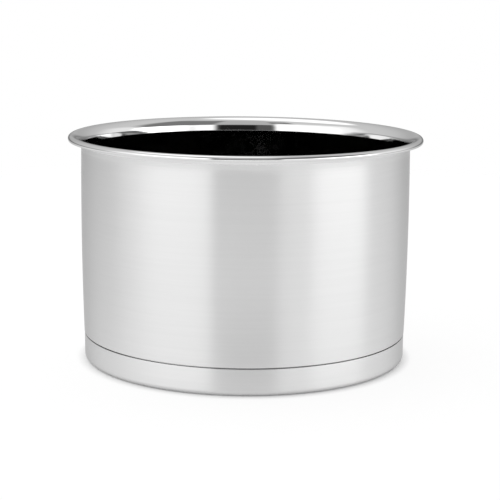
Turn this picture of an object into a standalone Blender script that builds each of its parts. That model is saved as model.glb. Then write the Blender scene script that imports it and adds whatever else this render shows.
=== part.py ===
"""Pot of a soup kettle: a drawn steel vessel standing on a tall capsule base.

Units are metres and +Z is up. The origin is on the ground, at the centre of the base.
Every piece is a body of revolution: its half section is drawn in the XZ plane and turned about Z.
"""

import math

import bpy

MM = 0.001

# Whole pot
POT_HEIGHT = 166.5 * MM          # ground to the crest of the rim
FACETS = 72                      # facets round the pot
CORNER_STEPS = 5                 # facets along the rounded stretches of a section
EDGE_STEPS = 4
CLIMB_STEPS = 3
WALL_STEPS = 4
FLARE_STEPS = 6
LIP_STEPS = 4
GAP = 0.3 * MM                   # clearance that stands for the braze between two bonded pieces

# Capsule base
CAP_RADIUS = 119.8 * MM          # outside of the upright band
CAP_TOP = 19.4 * MM              # top edge of the band
CAP_SHEET = 0.8 * MM
CAP_CORNER = 4.0 * MM            # outside radius of the bottom edge
RELIEF_DEPTH = 0.4 * MM          # the middle of the underside stands clear of the ground
RELIEF_RADIUS = 96.0 * MM
RELIEF_RAMP = 2.0 * MM           # radial width of the step round the relief
CORE_THICKNESS = 5.4 * MM        # aluminium under the flat part of the floor
CORE_RISE = 55.0                 # degrees that the aluminium climbs round the vessel's corner

# Drawn vessel
SHEET = 1.0 * MM
FLOOR_SEAT = RELIEF_DEPTH + CAP_SHEET + GAP + CORE_THICKNESS + GAP
VESSEL_CORNER = 10.0 * MM        # inside radius between floor and wall
VESSEL_FOOT = CAP_RADIUS - CAP_SHEET - GAP - SHEET   # inside of the necked foot behind the band
CORNER_CENTRE = (VESSEL_FOOT - VESSEL_CORNER, FLOOR_SEAT + SHEET + VESSEL_CORNER)
STEP_TOP = 21.4 * MM             # height at which the necked foot has opened out to the wall
STEP_RISE = 0.5 * MM
SEAM_HEIGHT = 19.8 * MM
SEAM_RADIUS = 120.0 * MM         # outside of the wall just above the seam
BELLY_HEIGHT = 109.0 * MM        # where the wall is widest
BELLY_RADIUS = 121.36 * MM
WALL_CURVE = (BELLY_RADIUS - SEAM_RADIUS) / (BELLY_HEIGHT - SEAM_HEIGHT) ** 2

# Trumpet mouth and turned-down lip
FLARE_DROP = 11.5 * MM           # height of the flare
FLARE_REACH = 8.2 * MM           # how far the flare opens out, wall face to crest
LIP_RADIUS = 2.5 * MM            # outside radius of the lip
LIP_TUCK = 30.0                  # degrees that the lip turns in past the vertical


def clear_scene():
    """Remove whatever the open file holds."""
    for item in list(bpy.data.objects):
        bpy.data.objects.remove(item, do_unlink=True)


def arc(centre, radii, start, end, steps):
    """Points on an elliptical arc of the half section, angles in degrees, both ends included."""
    points = []
    for step in range(steps + 1):
        angle = math.radians(start + (end - start) * step / steps)
        points.append((centre[0] + radii[0] * math.cos(angle), centre[1] + radii[1] * math.sin(angle)))
    return points


def wall_radius(height):
    """Outside radius of the bellied wall at a height above the ground."""
    return BELLY_RADIUS - WALL_CURVE * (height - BELLY_HEIGHT) ** 2


def vessel_line():
    """Upper face of the sheet, from the middle of the floor out, up the wall and over the lip."""
    neck = POT_HEIGHT - FLARE_DROP
    crest = wall_radius(neck) - SHEET + FLARE_REACH
    line = [(0.0, FLOOR_SEAT + SHEET)]
    line += arc(CORNER_CENTRE, (VESSEL_CORNER, VESSEL_CORNER), -90, 0, CORNER_STEPS)
    line.append((VESSEL_FOOT, STEP_TOP - STEP_RISE))
    for step in range(WALL_STEPS):
        height = STEP_TOP + (neck - STEP_TOP) * step / WALL_STEPS
        line.append((wall_radius(height) - SHEET, height))
    line += arc((crest, neck), (-FLARE_REACH, FLARE_DROP), 0, 90, FLARE_STEPS)
    roll = (crest, POT_HEIGHT - LIP_RADIUS)
    line += arc(roll, (LIP_RADIUS, LIP_RADIUS), 90, -LIP_TUCK, LIP_STEPS)[1:]
    return line


def cup_line(inset):
    """Outside of the capsule cup, moved inwards by an inset, from its top edge to the middle."""
    radius = CAP_CORNER - inset
    ring = RELIEF_RADIUS + RELIEF_RAMP
    line = [(CAP_RADIUS - inset, CAP_TOP)]
    line += arc((CAP_RADIUS - CAP_CORNER, CAP_CORNER), (radius, radius), 0, -90, EDGE_STEPS)
    line += [(ring, inset), (RELIEF_RADIUS, RELIEF_DEPTH + inset), (0.0, RELIEF_DEPTH + inset)]
    return line


def core_line():
    """Section of the aluminium, from the middle of its top, round its upturned edge, to its underside."""
    reach = VESSEL_CORNER + SHEET + GAP
    line = [(0.0, FLOOR_SEAT - GAP)]
    line += arc(CORNER_CENTRE, (reach, reach), -90, CORE_RISE - 90, CLIMB_STEPS)
    line.append((CAP_RADIUS - CAP_SHEET - GAP, line[-1][1]))
    line += cup_line(CAP_SHEET + GAP)[1:]
    return line


def steel(name, grey, roughness):
    """Bare metal: a neutral grey reflection, a little blurred by its polish."""
    material = bpy.data.materials.new(name)
    material.use_nodes = True
    shader = material.node_tree.nodes["Principled BSDF"]
    shader.inputs["Base Color"].default_value = (grey, grey, grey * 1.01, 1.0)
    shader.inputs["Metallic"].default_value = 1.0
    shader.inputs["Roughness"].default_value = roughness
    material.diffuse_color = (grey, grey, grey, 1.0)
    return material


def turn(name, line, seat, material, sheet=None):
    """Turn a half section about Z into a named piece that stands at a seat height.

    A closed section runs over the top, down its outside and back to the axis. An open line is the
    face of a sheet, which is then given its thickness behind that face.
    """
    profile = bpy.data.meshes.new(name)
    points = [(radius, 0.0, height - seat) for radius, height in line]
    profile.from_pydata(points, [(i, i + 1) for i in range(len(points) - 1)], [])
    piece = bpy.data.objects.new(name, profile)
    bpy.context.collection.objects.link(piece)

    screw = piece.modifiers.new("turn", "SCREW")
    screw.axis = "Z"
    screw.steps = FACETS
    screw.render_steps = FACETS
    screw.use_merge_vertices = True
    screw.merge_threshold = 0.00001
    if sheet:
        gauge = piece.modifiers.new("gauge", "SOLIDIFY")
        gauge.thickness = sheet
        gauge.offset = -1.0
        gauge.use_even_offset = True

    bpy.context.view_layer.update()
    evaluated = piece.evaluated_get(bpy.context.evaluated_depsgraph_get())
    mesh = bpy.data.meshes.new_from_object(evaluated)
    piece.modifiers.clear()
    piece.data = mesh
    mesh.name = name
    mesh.shade_smooth()
    mesh.set_sharp_from_angle(angle=math.radians(40))
    mesh.materials.clear()
    mesh.materials.append(material)
    piece.location = (0.0, 0.0, seat)
    return piece


def pot_shell():
    """Drawn vessel: floor, corner, bellied wall, flared mouth and lip in one sheet."""
    return turn("pot_shell", vessel_line(), FLOOR_SEAT, steel("satin_18_10_steel", 0.62, 0.28), SHEET)


def base_cap():
    """Magnetic steel cup that closes the base from below."""
    return turn("base_cap", cup_line(0.0), 0.0, steel("satin_18_0_steel", 0.60, 0.28), CAP_SHEET)


def core_disc():
    """Aluminium that spreads the heat, squeezed up round the vessel's corner."""
    seat = RELIEF_DEPTH + CAP_SHEET + GAP
    return turn("core_disc", core_line(), seat, steel("aluminium_1050", 0.80, 0.45))


def main():
    clear_scene()
    pot = bpy.data.objects.new("pot", None)
    pot.empty_display_size = 0.05
    bpy.context.collection.objects.link(pot)
    for piece in (pot_shell(), base_cap(), core_disc()):
        piece.parent = pot
    bpy.context.view_layer.update()


main()
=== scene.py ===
# %% [markdown]
# # The pot of a soup kettle
#
# The pot is the open vessel that stands in a soup kettle. It is a pressed product with three
# layers: a deep drawn vessel, an aluminium disc under its floor that spreads the heat, and a
# steel cup pressed over the disc, whose top edge leaves a thin dark seam round the pot.
#
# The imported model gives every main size, but its walls are flat facets. Polished steel shows
# each facet, so this lesson turns the three pieces again with a fine, true section, and then
# spends its effort on the finishes: a ground satin outside and a mirror polish on the mouth.

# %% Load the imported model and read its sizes
import math

import bpy
from mathutils import Matrix, Vector


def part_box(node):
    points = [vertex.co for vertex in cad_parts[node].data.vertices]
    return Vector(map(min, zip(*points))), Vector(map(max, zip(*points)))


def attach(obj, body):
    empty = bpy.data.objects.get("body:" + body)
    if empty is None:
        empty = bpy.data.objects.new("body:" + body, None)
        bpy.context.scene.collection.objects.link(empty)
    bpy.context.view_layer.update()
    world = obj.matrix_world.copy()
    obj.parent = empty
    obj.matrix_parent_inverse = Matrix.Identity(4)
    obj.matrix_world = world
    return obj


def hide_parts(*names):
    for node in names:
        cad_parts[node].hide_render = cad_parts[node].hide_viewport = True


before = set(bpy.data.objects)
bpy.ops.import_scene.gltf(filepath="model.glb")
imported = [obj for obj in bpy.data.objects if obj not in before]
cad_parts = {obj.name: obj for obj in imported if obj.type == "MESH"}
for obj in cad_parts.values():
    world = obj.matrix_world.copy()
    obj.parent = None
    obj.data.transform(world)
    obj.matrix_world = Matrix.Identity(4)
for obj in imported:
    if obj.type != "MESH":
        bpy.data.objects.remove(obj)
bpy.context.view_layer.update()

MM = 0.001
vessel_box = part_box("pot_shell")
cap_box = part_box("base_cap")
core_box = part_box("core_disc")

# %% [markdown]
# ## Driving sizes
#
# The vessel is one sheet. From the middle of its floor it runs out to a rounded corner, up a
# wall that bellies out by little more than a millimetre, over a trumpet flare and down a
# small rolled lip. A person would sketch this as arcs and one gentle curve, so the section
# is a handful of named radii and heights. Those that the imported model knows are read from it.

# %% Sizes of the vessel
SHEET = 1.0 * MM
POT_HEIGHT = vessel_box[1].z
FLOOR_FACE = vessel_box[0].z + SHEET
FLOOR_CORNER = 10.0 * MM
FOOT_RADIUS = 117.7 * MM         # inside of the necked foot, behind the band
SEAM_SHELF = 20.4 * MM           # lower end of the outer wall, just over the band
SEAM_LAND = 0.6 * MM             # short upright stretch over the shelf
SEAM_DRAFT = 0.01 * MM           # that stretch leans out by this much
SEAM_RADIUS = 120.0 * MM
NECK_RISE = 4.0 * MM             # height over the shelf at which the inside has opened out
BELLY_RADIUS = 121.36 * MM
BELLY_HEIGHT = 109.0 * MM        # where the wall is widest
BELLY_FOOT = 19.8 * MM           # where the belly's curve has the seam's radius
WALL_CURVE = (BELLY_RADIUS - SEAM_RADIUS) / (BELLY_HEIGHT - BELLY_FOOT) ** 2
FLARE_DROP = 10.5 * MM
FLARE_REACH = 8.2 * MM
FLARE_LEAN = 5.7                 # degrees: the flare starts as a slight cone
FLARE_RADIUS = 7.9 * MM          # and then turns over in one arc
LIP_RADIUS = 2.5 * MM
LIP_TUCK = 22                    # degrees that the lip turns in past the upright
FLARE_FOOT = POT_HEIGHT - FLARE_DROP
print("flare starts", round(FLARE_FOOT / MM, 1), "mm above the ground")

# %% Sizes of the base
CAP_SHEET = 0.8 * MM
CAP_RADIUS = cap_box[1].x
CAP_TOP = cap_box[1].z
CAP_CORNER = 4.0 * MM            # outside radius of the bottom edge
CAP_LAND = 0.6 * MM              # short upright stretch under the top edge
CAP_BAND = 5.0 * MM              # next ring of faces on the band
RELIEF_RADIUS = 96.0 * MM        # the middle of the underside stands clear of the ground
RELIEF_DEPTH = 0.4 * MM
RELIEF_RAMP = 2.0 * MM           # width of the soft step round it
RELIEF_STEPS = 6
BOND_GAP = core_box[0].z - CAP_SHEET
print("seam is", round((SEAM_SHELF - CAP_TOP) / MM, 2), "mm wide")

# %% [markdown]
# ## Drawing round stretches
#
# Every rounded stretch of the section is an arc. One function gives the points of an arc,
# so a radius is written once and its smoothness is only a number of steps. The wall is a
# very flat parabola, which is what a drawn and lightly expanded wall looks like. Where two
# straight stretches meet in a soft step, a share is eased at both ends.

# %% Arc, step and wall functions


def arc(centre, radii, start, end, steps):
    """Points on an elliptical arc of the half section, from one angle in degrees to another."""
    points = []
    for step in range(steps + 1):
        angle = math.radians(start + (end - start) * step / steps)
        points.append((centre[0] + radii[0] * math.cos(angle), centre[1] + radii[1] * math.sin(angle)))
    return points


def ease(share):
    """A share from 0 to 1 that starts and ends gently."""
    return share * share * (3 - 2 * share)


def wall_radius(height):
    """Outside radius of the bellied wall at a height above the ground."""
    return BELLY_RADIUS - WALL_CURVE * (height - BELLY_HEIGHT) ** 2


crest_radius = wall_radius(FLARE_FOOT) - SHEET + FLARE_REACH
rim_width = 2 * (crest_radius + LIP_RADIUS)
print("crest radius", round(crest_radius / MM, 2), "mm, rim", round(rim_width / MM, 2), "mm")

# %% [markdown]
# ## Turning a section
#
# A body of revolution could be lathed with a Screw modifier, or built from a stack of circles.
# Here it is done as by hand in edit mode: a small plane is merged to one vertex, that vertex is
# extruded along the section, and the whole line is spun once round Z. Spin is the direct
# counterpart of a lathe, and it leaves an ordinary mesh that can still be bevelled.
#
# The first and last points lie on the axis, so spinning leaves a pile of doubles at each pole
# and along the start. Merging by distance closes them, and only then are normals recalculated.

# %% Section and spin helpers
TURNS = 320                      # faces round the pot
MERGE_GAP = 0.002 * MM
SHARP = math.radians(50)         # edges that are broken
SMOOTH = math.radians(45)        # edges that still shade as one surface


def draw_section(name, points):
    """Draw a half section in the XZ plane, one extrusion for each point after the first."""
    bpy.ops.object.select_all(action="DESELECT")
    bpy.ops.mesh.primitive_plane_add(size=MM, location=(points[0][0], 0.0, points[0][1]))
    piece = bpy.context.object
    piece.name = name
    bpy.ops.object.mode_set(mode="EDIT")
    bpy.ops.mesh.merge(type="CENTER")
    for here, there in zip(points, points[1:]):
        move = (there[0] - here[0], 0.0, there[1] - here[1])
        bpy.ops.mesh.extrude_region_move(TRANSFORM_OT_translate={"value": move})
    bpy.ops.object.mode_set(mode="OBJECT")
    bpy.ops.object.transform_apply(location=True, rotation=True, scale=True)
    return piece


def turn(name, points):
    """Spin a drawn section round Z into one closed body with its faces pointing out."""
    piece = draw_section(name, points)
    bpy.ops.object.mode_set(mode="EDIT")
    bpy.ops.mesh.select_all(action="SELECT")
    bpy.ops.mesh.spin(steps=TURNS, angle=math.tau, center=(0, 0, 0), axis=(0, 0, 1))
    bpy.ops.mesh.select_all(action="SELECT")
    bpy.ops.mesh.remove_doubles(threshold=MERGE_GAP)
    bpy.ops.mesh.normals_make_consistent(inside=False)
    bpy.ops.object.mode_set(mode="OBJECT")
    return piece


def deburr(piece, width):
    """Break the sharp edges by a small rounded bevel, as a deburring tool does, and shade smooth."""
    bevel = piece.modifiers.new("deburr", "BEVEL")
    bevel.width = width
    bevel.segments = 3
    bevel.limit_method = "ANGLE"
    bevel.angle_limit = SHARP
    bpy.ops.object.modifier_apply(modifier=bevel.name)
    bpy.ops.object.shade_smooth_by_angle(angle=SMOOTH)
    print(piece.name, len(piece.data.polygons), "faces")


# %% [markdown]
# ## The drawn vessel
#
# The real vessel is pressed from a flat blank in several draws, its mouth is flared and its
# edge is rolled down, so the sheet has the same gauge all along. The section is therefore one
# line for the upper face and a second, parallel line for the back of the sheet, and both come
# from the same function: a depth of zero gives the face, a depth of one gauge gives the back.
#
# Near the ground the two differ. Inside, the wall necks in softly behind the band. Outside, the
# wall was ground flush with the band after pressing, so it ends in a crisp shelf over the seam.

# %% The vessel's section
CORNER_CENTRE = (FOOT_RADIUS - FLOOR_CORNER, FLOOR_FACE + FLOOR_CORNER)
CORNER_STEPS = 14
NECK_STEPS = 10
WALL_STEPS = 40
FLARE_STEPS = 28
LIP_STEPS = 20
EDGE_STEPS = 8
EDGE_BREAK = 0.12 * MM           # width of the deburred edges on the steel


def wall_line(depth, start):
    """The bellied wall from a starting height up to the foot of the flare."""
    heights = [start + (FLARE_FOOT - start) * step / WALL_STEPS for step in range(WALL_STEPS)]
    return [(wall_radius(height) - SHEET + depth, height) for height in heights]


def neck_line():
    """Soft inward step of the inner face, from the foot out to the wall."""
    top = SEAM_SHELF + NECK_RISE
    bottom = CORNER_CENTRE[1]
    opening = wall_radius(top) - SHEET - FOOT_RADIUS
    points = []
    for step in range(1, NECK_STEPS):
        share = step / NECK_STEPS
        points.append((FOOT_RADIUS + opening * ease(share), bottom + (top - bottom) * share))
    return points


def mouth_line(depth):
    """The trumpet flare, first a slight cone and then an arc, and the rolled lip."""
    foot = wall_radius(FLARE_FOOT) - SHEET + depth
    bend = FLARE_RADIUS - depth
    turned = arc((crest_radius, POT_HEIGHT - FLARE_RADIUS), (-bend, bend), FLARE_LEAN, 90, FLARE_STEPS)
    cone = [(foot, FLARE_FOOT)]
    for share in (0.1, 0.3, 0.6, 0.9):
        radius = foot + (turned[0][0] - foot) * share
        cone.append((radius, FLARE_FOOT + (turned[0][1] - FLARE_FOOT) * share))
    roll = (LIP_RADIUS - depth, LIP_RADIUS - depth)
    lip = arc((crest_radius, POT_HEIGHT - LIP_RADIUS), roll, 90, -LIP_TUCK, LIP_STEPS)
    return cone + turned + lip[1:]


def vessel_section():
    """Closed section of the vessel: upper face, cut edge of the lip, and back of the sheet."""
    inner = (FLOOR_CORNER, FLOOR_CORNER)
    outer = (FLOOR_CORNER + SHEET, FLOOR_CORNER + SHEET)
    face = [(0.0, FLOOR_FACE)] + arc(CORNER_CENTRE, inner, -90, 0, CORNER_STEPS)
    face += neck_line() + wall_line(0.0, SEAM_SHELF + NECK_RISE) + mouth_line(0.0)
    back = [(0.0, FLOOR_FACE - SHEET)] + arc(CORNER_CENTRE, outer, -90, 0, CORNER_STEPS)
    back += [(FOOT_RADIUS + SHEET, SEAM_SHELF), (SEAM_RADIUS, SEAM_SHELF)]
    back.append((SEAM_RADIUS + SEAM_DRAFT, SEAM_SHELF + SEAM_LAND))
    back += wall_line(SHEET, SEAM_SHELF + 2 * SEAM_LAND) + mouth_line(SHEET)
    upper = mouth_line(0.0)[-1]
    lower = mouth_line(SHEET)[-1]
    edge = ((upper[0] + lower[0]) / 2, (upper[1] + lower[1]) / 2)
    half = math.dist(upper, lower) / 2
    start = math.degrees(math.atan2(upper[1] - edge[1], upper[0] - edge[0]))
    cut = arc(edge, (half, half), start, start - 180, EDGE_STEPS)[1:-1]
    return face + cut + back[::-1]


# %% Turn the vessel
vessel = turn("vessel", vessel_section())
deburr(vessel, EDGE_BREAK)

# %% [markdown]
# ## The base cap
#
# The cap is a shallow cup of magnetic steel, pressed over the bottom. Its upright band is the
# tall strip below the seam, its bottom edge is rounded by 4 mm, and the middle of the underside
# is relieved by 0.4 mm, so that a hot and slightly bulging base still stands on its outer ring.

# %% Turn the cap


def cup_line(inset):
    """Outside of the cup moved inwards by an inset, from the top of its band to the middle."""
    radius = CAP_CORNER - inset
    centre = (CAP_RADIUS - CAP_CORNER, CAP_CORNER)
    band = CAP_RADIUS - inset
    line = [(band, CAP_TOP), (band, CAP_TOP - CAP_LAND), (band, CAP_TOP - CAP_BAND)]
    line += arc(centre, (radius, radius), 0, -90, 12)
    for step in range(RELIEF_STEPS + 1):
        share = step / RELIEF_STEPS
        lift = RELIEF_DEPTH * ease(share)
        line.append((RELIEF_RADIUS + RELIEF_RAMP * (1 - share), lift + inset))
    return line + [(0.0, RELIEF_DEPTH + inset)]


cap = turn("cap", cup_line(0.0)[::-1] + cup_line(CAP_SHEET))
deburr(cap, EDGE_BREAK)

# %% [markdown]
# ## The heat-spreading core
#
# Nobody sees the aluminium in a finished pot. It is still made as a real body, because the
# pot weighs and heats as it does through this disc. Impact pressing squeezes the soft metal up
# round the vessel's corner, so its rim rises above its face.

# %% Turn the core
CORE_CREST = -35                 # degrees round the corner, up to which the metal is squeezed
CORE_EDGE_BREAK = 0.2 * MM
core_reach = FLOOR_CORNER + SHEET + BOND_GAP
core_section = [(0.0, vessel_box[0].z - BOND_GAP)]
core_section += arc(CORNER_CENTRE, (core_reach, core_reach), -90, CORE_CREST, 8)
core_section.append((CAP_RADIUS - CAP_SHEET - BOND_GAP, core_section[-1][1]))
core_section += cup_line(CAP_SHEET + BOND_GAP)[3:]       # without the band's three points
core = turn("core", core_section)
deburr(core, CORE_EDGE_BREAK)

# %% [markdown]
# ## A helper for materials
#
# Node materials are long when each node takes five lines. One helper adds a node with its
# settings, its fixed inputs and its links. Colours are written as the hex values that a
# paint program shows, and one function turns them to the linear values that Blender mixes.

# %% Node and colour helpers


def node(tree, kind, values=None, links=None, **settings):
    """Add a node, set its properties and inputs, and link other nodes' outputs into it."""
    new = tree.nodes.new(kind)
    for key, value in settings.items():
        setattr(new, key, value)
    for key, value in (values or {}).items():
        new.inputs[key].default_value = value
    for key, output in (links or {}).items():
        tree.links.new(output, new.inputs[key])
    return new


def linear(code):
    """An sRGB hex colour as linear red, green, blue and alpha."""
    parts = [int(code[i:i + 2], 16) / 255 for i in (1, 3, 5)]
    return [c / 12.92 if c <= 0.04045 else ((c + 0.055) / 1.055) ** 2.4 for c in parts] + [1.0]


def blank(name):
    """A new material with only its output node, and its tree."""
    material = bpy.data.materials.new(name)
    material.use_nodes = True
    material.node_tree.nodes.clear()
    node(material.node_tree, "ShaderNodeOutputMaterial")
    return material, material.node_tree


def finish_with(tree, shader):
    """Link a shader into the tree's output."""
    output = tree.nodes["Material Output"]
    tree.links.new(shader.outputs[0], output.inputs["Surface"])


# %% [markdown]
# ## Ring-shaped grain
#
# The outside was ground with a belt while the pot turned, so every scratch runs round the
# pot. The grain must then change quickly with height and slowly round the wall. On the flat
# underside the same tool leaves circles, which change quickly with the distance from the axis.
#
# Four-dimensional noise gives both at once: its first two coordinates are the object's X and Y
# at a slow scale, the third is the height at a fast scale, and the fourth is the radius at the
# same fast scale. It has no seam, and it needs no unwrapped map.

# %% Grain node group function


def ring_grain(tree, line_width, line_length):
    """Noise whose streaks run round Z: width and length of a streak in metres."""
    place = node(tree, "ShaderNodeTexCoord").outputs["Object"]
    stretch = (1 / line_length, 1 / line_length, 1 / line_width)
    flow = node(tree, "ShaderNodeVectorMath", {1: stretch}, {0: place}, operation="MULTIPLY")
    flat = node(tree, "ShaderNodeVectorMath", {1: (1, 1, 0)}, {0: place}, operation="MULTIPLY")
    reach = node(tree, "ShaderNodeVectorMath", links={0: flat.outputs[0]}, operation="LENGTH")
    rings = node(
        tree, "ShaderNodeMath", {1: 1 / line_width}, {0: reach.outputs["Value"]},
        operation="MULTIPLY",
    )
    noise = node(
        tree, "ShaderNodeTexNoise", {"Scale": 1.0, "Detail": 2.0, "Roughness": 0.6},
        {"Vector": flow.outputs[0], "W": rings.outputs[0]}, noise_dimensions="4D",
    )
    return noise.outputs["Fac"]


def blotches(tree, scale, detail):
    """Plain noise on the piece's own coordinates, for what has no direction."""
    place = node(tree, "ShaderNodeTexCoord").outputs["Object"]
    noise = node(
        tree, "ShaderNodeTexNoise", {"Scale": scale, "Detail": detail}, {"Vector": place},
    )
    return noise.outputs["Fac"]


def spread(tree, value, low, high, centre=0.5, width=0.16):
    """Map noise around its centre to a range of values."""
    limits = {"From Min": centre - width, "From Max": centre + width, "To Min": low, "To Max": high}
    return node(tree, "ShaderNodeMapRange", limits, {"Value": value}).outputs["Result"]


# %% [markdown]
# ## Ground satin steel
#
# Stainless steel, ground round and round with a fine belt. Each scratch is a tiny groove, so
# light spreads up and down the wall and hardly sideways: the room shows as tall soft bands.
# That is anisotropic reflection along a tangent that circles Z, turned a quarter.
# The real scratches are about 0.05 mm wide. They are drawn 0.35 mm wide, so that they show.
#
# The finish is mixed from three things: fine scratches, broad bands where the belt was
# pressed harder, and a faint mottle. They move the roughness a little and the tone less.
# Steel seen at a glancing angle is a shade darker than an ideal mirror, hence the edge tint.

# %% Satin material
EDGE_TINT = linear("#CECECE")
SCRATCH = (0.35 * MM, 30 * MM)   # width and length of a scratch, as drawn
BELT_BAND = (2.5 * MM, 120 * MM)
SATIN_SPREAD = 0.03              # roughness above and below its middle
SATIN_TONE = 1.025               # brightest tone against the darkest


def ground_satin_steel(name, colour, roughness, grain_depth):
    """Stainless steel with a belt-ground grain round Z."""
    material, tree = blank(name)
    fine = ring_grain(tree, *SCRATCH)
    broad = ring_grain(tree, *BELT_BAND)
    mottle = blotches(tree, 28.0, 3.0)
    streaks = node(tree, "ShaderNodeMath", {1: 0.6}, {0: fine, 2: broad}, operation="MULTIPLY_ADD")
    both = node(
        tree, "ShaderNodeMath", {1: 0.4}, {0: mottle, 2: streaks.outputs[0]},
        operation="MULTIPLY_ADD",
    ).outputs[0]
    low = roughness - SATIN_SPREAD
    high = roughness + SATIN_SPREAD
    polish = spread(tree, both, low, high, centre=1.0, width=0.3)
    dark = linear(colour)
    pale = [channel * SATIN_TONE for channel in dark[:3]] + [1.0]
    share = spread(tree, broad, 0.0, 1.0)
    tone = node(
        tree, "ShaderNodeMix", {"A": dark, "B": pale}, {"Factor": share}, data_type="RGBA",
    )
    bump = node(
        tree, "ShaderNodeBump", {"Strength": 1.0, "Distance": grain_depth}, {"Height": fine},
    )
    tangent = node(tree, "ShaderNodeTangent", direction_type="RADIAL", axis="Z")
    shader = node(
        tree, "ShaderNodeBsdfPrincipled",
        {
            "Metallic": 1.0, "Anisotropic": 0.9, "Anisotropic Rotation": 0.25,
            "Specular Tint": EDGE_TINT,
        },
        {
            "Base Color": tone.outputs["Result"], "Roughness": polish,
            "Normal": bump.outputs[0], "Tangent": tangent.outputs[0],
        },
    )
    finish_with(tree, shader)
    return material


# %% [markdown]
# ## Mirror-polished steel
#
# The mouth and the inside were buffed. A buffed sheet is a mirror with a faint haze: a low
# roughness that wanders a little, very shallow waves left by forming, and hairline scratches
# from use that run round the pot. The waves bend reflections without blurring them.

# %% Mirror material
WAVE_DEPTH = 0.02 * MM
HAIRLINE = (0.3 * MM, 15 * MM)
HAIRLINE_DEPTH = 0.0005 * MM


def buffed_steel(name, colour, roughness):
    """Stainless steel buffed to a mirror, with a faint haze and shallow waves."""
    material, tree = blank(name)
    haze = blotches(tree, 60.0, 4.0)
    waves = blotches(tree, 22.0, 1.0)
    hairlines = ring_grain(tree, *HAIRLINE)
    soft = node(
        tree, "ShaderNodeBump", {"Strength": 1.0, "Distance": WAVE_DEPTH}, {"Height": waves},
    )
    bump = node(
        tree, "ShaderNodeBump", {"Strength": 1.0, "Distance": HAIRLINE_DEPTH},
        {"Height": hairlines, "Normal": soft.outputs[0]},
    )
    polish = spread(tree, haze, roughness - 0.01, roughness + 0.02)
    shader = node(
        tree, "ShaderNodeBsdfPrincipled",
        {"Metallic": 1.0, "Base Color": linear(colour), "Specular Tint": EDGE_TINT},
        {"Roughness": polish, "Normal": bump.outputs[0]},
    )
    finish_with(tree, shader)
    return material


# %% [markdown]
# ## Rolled aluminium
#
# The core is cut from rolled sheet: paler than steel, and dull from its thin oxide skin. Its
# grain runs one way, 50 mm long and about 1 mm wide, as the mill's rolls left it.

# %% Aluminium material


def rolled_aluminium(name):
    """Mill-finish aluminium with a faint rolling direction along X."""
    material, tree = blank(name)
    place = node(tree, "ShaderNodeTexCoord").outputs["Object"]
    along = node(tree, "ShaderNodeVectorMath", {1: (20, 900, 900)}, {0: place}, operation="MULTIPLY")
    grain = node(
        tree, "ShaderNodeTexNoise", {"Scale": 1.0, "Detail": 3.0}, {"Vector": along.outputs[0]},
    ).outputs["Fac"]
    shader = node(
        tree, "ShaderNodeBsdfPrincipled", {"Metallic": 1.0, "Base Color": linear("#DADBDC")},
        {"Roughness": spread(tree, grain, 0.38, 0.5)},
    )
    finish_with(tree, shader)
    return material


# %% [markdown]
# ## Near-black steel in the seam, as painted shade
#
# Behind the band and in the seam the steel is given a dull near-black colour. That colour is
# painted shade: it darkens the narrow groove of the seam, so that the seam reads as a thin black line.

# %% Seam material


def painted_shade_seam_steel(name):
    """Dull near-black steel, whose colour paints the shade in the seam's groove."""
    material, tree = blank(name)
    shader = node(
        tree, "ShaderNodeBsdfPrincipled",
        {"Metallic": 0.6, "Base Color": linear("#2A2827"), "Roughness": 0.6},
    )
    finish_with(tree, shader)
    return material


# %% [markdown]
# ## The pot's finishes
#
# One function makes both satins: the cap is another steel, a touch paler and with deeper
# scratches than the vessel. Inside, the floor is ground in circles, less rough than the wall's
# outside. The inner wall is the mouth's mirror with a darker colour, which paints the shade inside the
# pot.

# %% Make the finishes
satin_vessel = ground_satin_steel("ground_satin_18_10_steel", "#DBDBDB", 0.33, 0.0006 * MM)
satin_cap = ground_satin_steel("ground_satin_18_0_steel", "#DCDCDC", 0.32, 0.003 * MM)
satin_floor = ground_satin_steel("circular_ground_floor_steel", "#D9D9D9", 0.26, 0.002 * MM)
mirror = buffed_steel("buffed_18_10_steel", "#DADADA", 0.03)
# The inner wall's mirror is the mouth's made darker: painted shade for the inside of the pot.
painted_shade_mirror = buffed_steel("painted_shade_inner_steel", "#C4C4C4", 0.03)
# The seam's steel is near black: its colour is painted shade for the groove.
seam_painted_shade = painted_shade_seam_steel("painted_shade_seam_steel")
aluminium = rolled_aluminium("rolled_aluminium")
print("finishes:", sorted(material.name for material in bpy.data.materials))

# %% [markdown]
# ## Where satin ends and mirror begins
#
# Vessel faces are sorted by their place. The outside of the wall below the flare is satin, the
# faces behind the band are near black as painted shade, the floor inside has its own finish, the
# inner wall is a darker mirror as painted shade, and the rest, the mouth and the lip, is buffed.
# One piece holds all five in its material slots. Each test looks only at where the middle of a face
# is.

# %% Tests for the vessel's faces
FLUSH = 0.01 * MM                # allowance when a height is compared
SATIN_PAST_FOOT = 4 * MM         # the belt reaches this far up the back of the flare


def on_wall(face):
    """Whether a face lies on the outside of the wall, between the seam and the flare."""
    behind = math.hypot(face.x, face.y) > wall_radius(face.z) - SHEET / 2
    return behind and SEAM_SHELF + FLUSH < face.z < FLARE_FOOT + SATIN_PAST_FOOT


def in_seam(face):
    """Whether a face lies on the back of the sheet, behind the band and in the seam."""
    inner = FOOT_RADIUS + SHEET / 2
    return math.hypot(face.x, face.y) > inner and face.z < SEAM_SHELF + FLUSH


def on_floor(face):
    """Whether a face lies on the flat floor inside the vessel."""
    return abs(face.z - FLOOR_FACE) < 2 * FLUSH


def on_inner_wall(face):
    """Whether a face lies inside the vessel, above the floor and below the flare."""
    inside = math.hypot(face.x, face.y) < wall_radius(face.z) - SHEET / 2
    return inside and FLOOR_FACE + 2 * FLUSH < face.z < FLARE_FOOT


# %% Give the pieces their finishes


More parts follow.
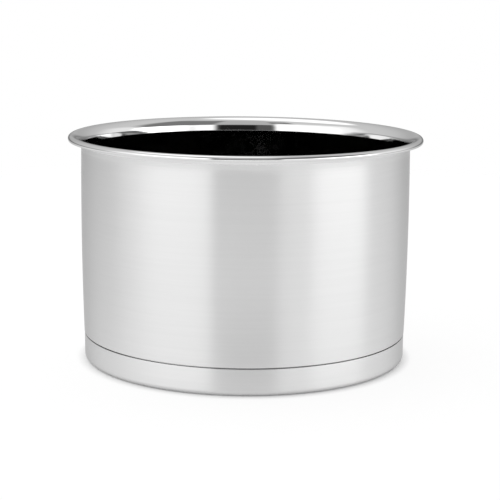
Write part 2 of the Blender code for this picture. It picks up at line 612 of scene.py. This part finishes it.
def paint(piece, slot, chosen):
    """Give a material slot to the faces whose centre passes a test."""
    bpy.ops.object.select_all(action="DESELECT")
    piece.select_set(True)
    bpy.context.view_layer.objects.active = piece
    bpy.ops.object.mode_set(mode="EDIT")
    bpy.ops.mesh.select_mode(type="FACE")
    bpy.ops.mesh.select_all(action="DESELECT")
    bpy.ops.object.mode_set(mode="OBJECT")
    for face in piece.data.polygons:
        face.select = chosen(face.center)
    bpy.ops.object.mode_set(mode="EDIT")
    piece.active_material_index = slot
    bpy.ops.object.material_slot_assign()
    bpy.ops.object.mode_set(mode="OBJECT")
    count = sum(face.material_index == slot for face in piece.data.polygons)
    print(piece.name, count, "faces of", piece.data.materials[slot].name)


for finish in (mirror, satin_vessel, seam_painted_shade, satin_floor, painted_shade_mirror):
    vessel.data.materials.append(finish)
paint(vessel, 1, on_wall)
# The seam's faces take the near-black steel that paints the groove's shade.
paint(vessel, 2, in_seam)
paint(vessel, 3, on_floor)
# The inner wall takes the darker mirror that paints the shade inside the pot.
paint(vessel, 4, on_inner_wall)
cap.data.materials.append(satin_cap)
core.data.materials.append(aluminium)

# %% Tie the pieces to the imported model
for piece, packed, finish in (
    (vessel, "pot_shell", "vessel_steel"),
    (cap, "base_cap", "cap_steel"),
    (core, "core_disc", "core_aluminium"),
):
    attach(piece, "root")
    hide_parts(packed)

# %% [markdown]
# ## The studio
#
# Bare steel has no look of its own: it shows the room. A product studio is a white table under
# a large overhead light, with a tall diffuser at each side of the camera. The gap between the
# diffusers shows in the polished rim as a dark patch, and the far edge of the table as a thin
# dark line. The world colour is used as that room: it varies with the direction only, and a
# ray from the camera sees plain white in its place.
#
# Bearings are degrees round the pot, 0 towards the camera and positive to its right. Heights
# are degrees above the horizon.

# %% Directions in the room
room = bpy.data.worlds.new("diffuser_room")
bpy.context.scene.world = room
room.use_nodes = True
tree = room.node_tree
tree.nodes.clear()
gaze = node(tree, "ShaderNodeTexCoord").outputs["Generated"]
axes = node(tree, "ShaderNodeSeparateXYZ", links={0: gaze})
toward = node(tree, "ShaderNodeMath", {1: -1.0}, {0: axes.outputs["Y"]}, operation="MULTIPLY")
bearing = node(
    tree, "ShaderNodeMath", links={0: axes.outputs["X"], 1: toward.outputs[0]},
    operation="ARCTAN2",
).outputs[0]
height = node(
    tree, "ShaderNodeMath", links={0: axes.outputs["Z"]}, operation="ARCSINE",
).outputs[0]


def rise(angle, start, end):
    """Share that goes smoothly from 0 to 1 between two angles in degrees, in either sense."""
    limits = {"From Min": math.radians(start), "From Max": math.radians(end)}
    shape = {"interpolation_type": "SMOOTHSTEP"}
    return node(tree, "ShaderNodeMapRange", limits, {"Value": angle}, **shape).outputs[0]


def mixed(share, below, above):
    """Mix two colours by a share."""
    links = {"Factor": share, "A": below, "B": above}
    return node(tree, "ShaderNodeMix", links=links, data_type="RGBA").outputs["Result"]


def grey(level):
    """A plain grey of a brightness."""
    new = node(tree, "ShaderNodeRGB")
    new.outputs[0].default_value = (level, level, level, 1)
    return new.outputs[0]


def hang(behind, level, left, right, bottom, top):
    """Hang a panel in the room. Each side is a pair of angles between which it fades in."""
    share = rise(bearing, *left)
    for fade in (rise(bearing, *right), rise(height, *bottom), rise(height, *top)):
        both = {0: share, 1: fade}
        share = node(tree, "ShaderNodeMath", links=both, operation="MULTIPLY").outputs[0]
    return mixed(share, behind, grey(level))


# %% Walls of the room, from straight down to straight up
# Pairs of a height and a brightness: the table's white, its dark far edge, and the grey walls.
WALLS = ((-90, 1.0), (-4.5, 1.0), (-3, 0.35), (3, 0.35), (8, 0.8), (90, 0.8))
quarter = math.pi / 2
climb = node(
    tree, "ShaderNodeMapRange", {"From Min": -quarter, "From Max": quarter}, {"Value": height},
)
coat = node(tree, "ShaderNodeValToRGB", links={"Fac": climb.outputs[0]})
marks = coat.color_ramp.elements
while len(marks) < len(WALLS):
    marks.new(0.5)
for mark, (angle, level) in zip(marks, WALLS):
    mark.position = (angle + 90) / 180
    mark.color = (level, level, level, 1)
seen = coat.outputs["Color"]

# %% [markdown]
# ## Panels in the room
#
# Each panel has a brightness and four sides. A side is a pair of angles: the panel starts to
# show at the first and is full at the second, because a real diffuser has soft edges. Panels
# are hung from the back of the room to the front, so a later one covers an earlier one.
#
# The levels were chosen by looking at the wall, which shows the room's low part as tall bands,
# and at the flare, which shows all of it in a few millimetres.

# %% Hang the panels
PANELS = {
    "front edge of the table": (1.1, (-85, -70), (100, 85), (-4.5, -3), (3, 1)),
    "bright strip before the camera": (3.2, (-26, -8), (30, 16), (-5.5, -4.5), (-1.5, -2.5)),
    "grey wall over the camera": (0.6, (-30, -20), (30, 22), (15, 20), (76, 66)),
    "gap between the diffusers": (0.12, (-24, -18), (32, 27), (-2, 0), (24, 18)),
    "camera and its stand": (0.02, (-10, -6), (22, 18), (-1, 1), (17, 13)),
    "frame over the right diffuser": (0.25, (20, 28), (110, 85), (16, 22), (74, 62)),
    "frame over the left diffuser": (0.25, (-44, -38), (-18, -24), (30, 36), (60, 52)),
    "left diffuser": (1.3, (-108, -80), (-20, -27), (-3, 2), (42, 34)),
    "middle of the left diffuser": (1.85, (-82, -60), (-20, -27), (-1, 3), (28, 20)),
    "inner edge of the right diffuser": (1.5, (20, 26), (44, 34), (-1, 3), (24, 17)),
    "middle of the right diffuser": (2.6, (32, 56), (105, 85), (-1, 3), (24, 17)),
    "outer edge of the right diffuser": (1.1, (82, 100), (145, 112), (-1, 3), (36, 24)),
}
for panel in PANELS.values():
    seen = hang(seen, *panel)
print(len(PANELS), "panels hang in the room")

# %% Overhead light
# A round light above the pot, a little behind it and to its left: 19 degrees from its middle
# it is at full brightness, and at 25 degrees it has gone.
LIGHT_WAY = Vector((-0.22, 0.24, 1.0)).normalized()
LIGHT_LEVEL = 1.6
LIGHT_EDGE = (25, 19)
facing = node(
    tree, "ShaderNodeVectorMath", {1: LIGHT_WAY}, {0: gaze}, operation="DOT_PRODUCT",
).outputs["Value"]
gone_at, full_at = (math.cos(math.radians(angle)) for angle in LIGHT_EDGE)
limits = {"From Min": gone_at, "From Max": full_at}
over = node(
    tree, "ShaderNodeMapRange", limits, {"Value": facing}, interpolation_type="SMOOTHSTEP",
).outputs[0]
seen = mixed(over, seen, grey(LIGHT_LEVEL))

# %% White backdrop for the camera's own rays
sight = node(tree, "ShaderNodeLightPath").outputs["Is Camera Ray"]
backdrop = {"Color": mixed(sight, seen, grey(1.0))}
background = node(tree, "ShaderNodeBackground", {"Strength": 1.0}, backdrop)
node(tree, "ShaderNodeOutputWorld", links={"Surface": background.outputs[0]})

# %% [markdown]
# ## The table
#
# The table is a round sheet of white paper, just under the pot, that fades out into the white
# backdrop. Away from the pot most of its light is its own, so it stays an even white. In a
# narrow ring at the pot's foot it is plain paper, so that the pot casts a thin contact shadow.
# The paper has one side: from below it is clear, and the pot's underside can be seen.

# %% Table
TABLE_RADIUS = 1.1               # metres
TABLE_FADE = (0.95, 1.08)        # metres from the middle: still whole, and gone
TABLE_SINK = 0.05 * MM
FOOTPRINT = 114 * MM             # ring on which the pot stands
SHADOW_FADE = (2 * MM, 12 * MM)  # from the ring: plain paper, and lit paper
GLOW_SHARE = 0.8                 # the paper's own light against the light that falls on it
GLOW_LEVEL = 1.07
bpy.ops.object.select_all(action="DESELECT")
bpy.ops.mesh.primitive_circle_add(
    vertices=96, radius=TABLE_RADIUS, fill_type="NGON", location=(0, 0, -TABLE_SINK),
)
floor = bpy.context.object
floor.name = "floor"
paper, tree = blank("white_sweep_paper")
place = node(tree, "ShaderNodeTexCoord").outputs["Object"]
far = node(tree, "ShaderNodeVectorMath", links={0: place}, operation="LENGTH").outputs["Value"]
fade = node(
    tree, "ShaderNodeMapRange", {"From Min": TABLE_FADE[0], "From Max": TABLE_FADE[1]},
    {"Value": far}, interpolation_type="SMOOTHSTEP",
).outputs[0]
side = node(tree, "ShaderNodeMath", {1: FOOTPRINT}, {0: far}, operation="SUBTRACT").outputs[0]
off_ring = node(tree, "ShaderNodeMath", links={0: side}, operation="ABSOLUTE").outputs[0]
limits = {"From Min": SHADOW_FADE[0], "From Max": SHADOW_FADE[1], "To Max": GLOW_SHARE}
lit_share = node(tree, "ShaderNodeMapRange", limits, {"Value": off_ring}).outputs[0]
card = node(tree, "ShaderNodeBsdfDiffuse", {"Color": linear("#F4F4F4")}).outputs[0]
glow = node(tree, "ShaderNodeEmission", {"Color": (1, 1, 1, 1), "Strength": GLOW_LEVEL}).outputs[0]
lit = node(tree, "ShaderNodeMixShader", links={0: lit_share, 1: card, 2: glow}).outputs[0]
gone = node(tree, "ShaderNodeBsdfTransparent").outputs[0]
below = node(tree, "ShaderNodeNewGeometry").outputs["Backfacing"]
clear = node(tree, "ShaderNodeMath", links={0: fade, 1: below}, operation="MAXIMUM").outputs[0]
sheet = node(tree, "ShaderNodeMixShader", links={0: clear, 1: lit, 2: gone})
finish_with(tree, sheet)
floor.data.materials.append(paper)
print("table", 2 * TABLE_RADIUS, "m across")

# %% [markdown]
# ## The camera
#
# A long lens about 1.1 m away, a little above the rim, keeps the pot's ellipses flat.

# %% Camera
FOCAL_LENGTH = 110.3             # millimetres on the usual 36 mm sensor
lens = bpy.data.cameras.new("camera")
camera = bpy.data.objects.new("camera", lens)
bpy.context.scene.collection.objects.link(camera)
lens.lens = FOCAL_LENGTH
lens.clip_end = 20
VIEW_DISTANCE = 1127.4 * MM
VIEW_HEIGHT = 294.7 * MM
LOOK_DOWN = 10.813               # degrees
LOOK_RIGHT = 0.197
TILT = 0.52
stand = Matrix.Translation((0, -VIEW_DISTANCE, VIEW_HEIGHT))
pan = Matrix.Rotation(math.radians(-LOOK_RIGHT), 4, "Z")
pitch = Matrix.Rotation(math.radians(90 - LOOK_DOWN), 4, "X")
roll = Matrix.Rotation(math.radians(TILT), 4, "Z")
camera.matrix_world = stand @ pan @ pitch @ roll
print("camera", round(VIEW_DISTANCE, 2), "m away and", round(VIEW_HEIGHT, 2), "m up")
bpy.context.scene.camera = camera
bpy.context.scene.view_settings.view_transform = "Standard"
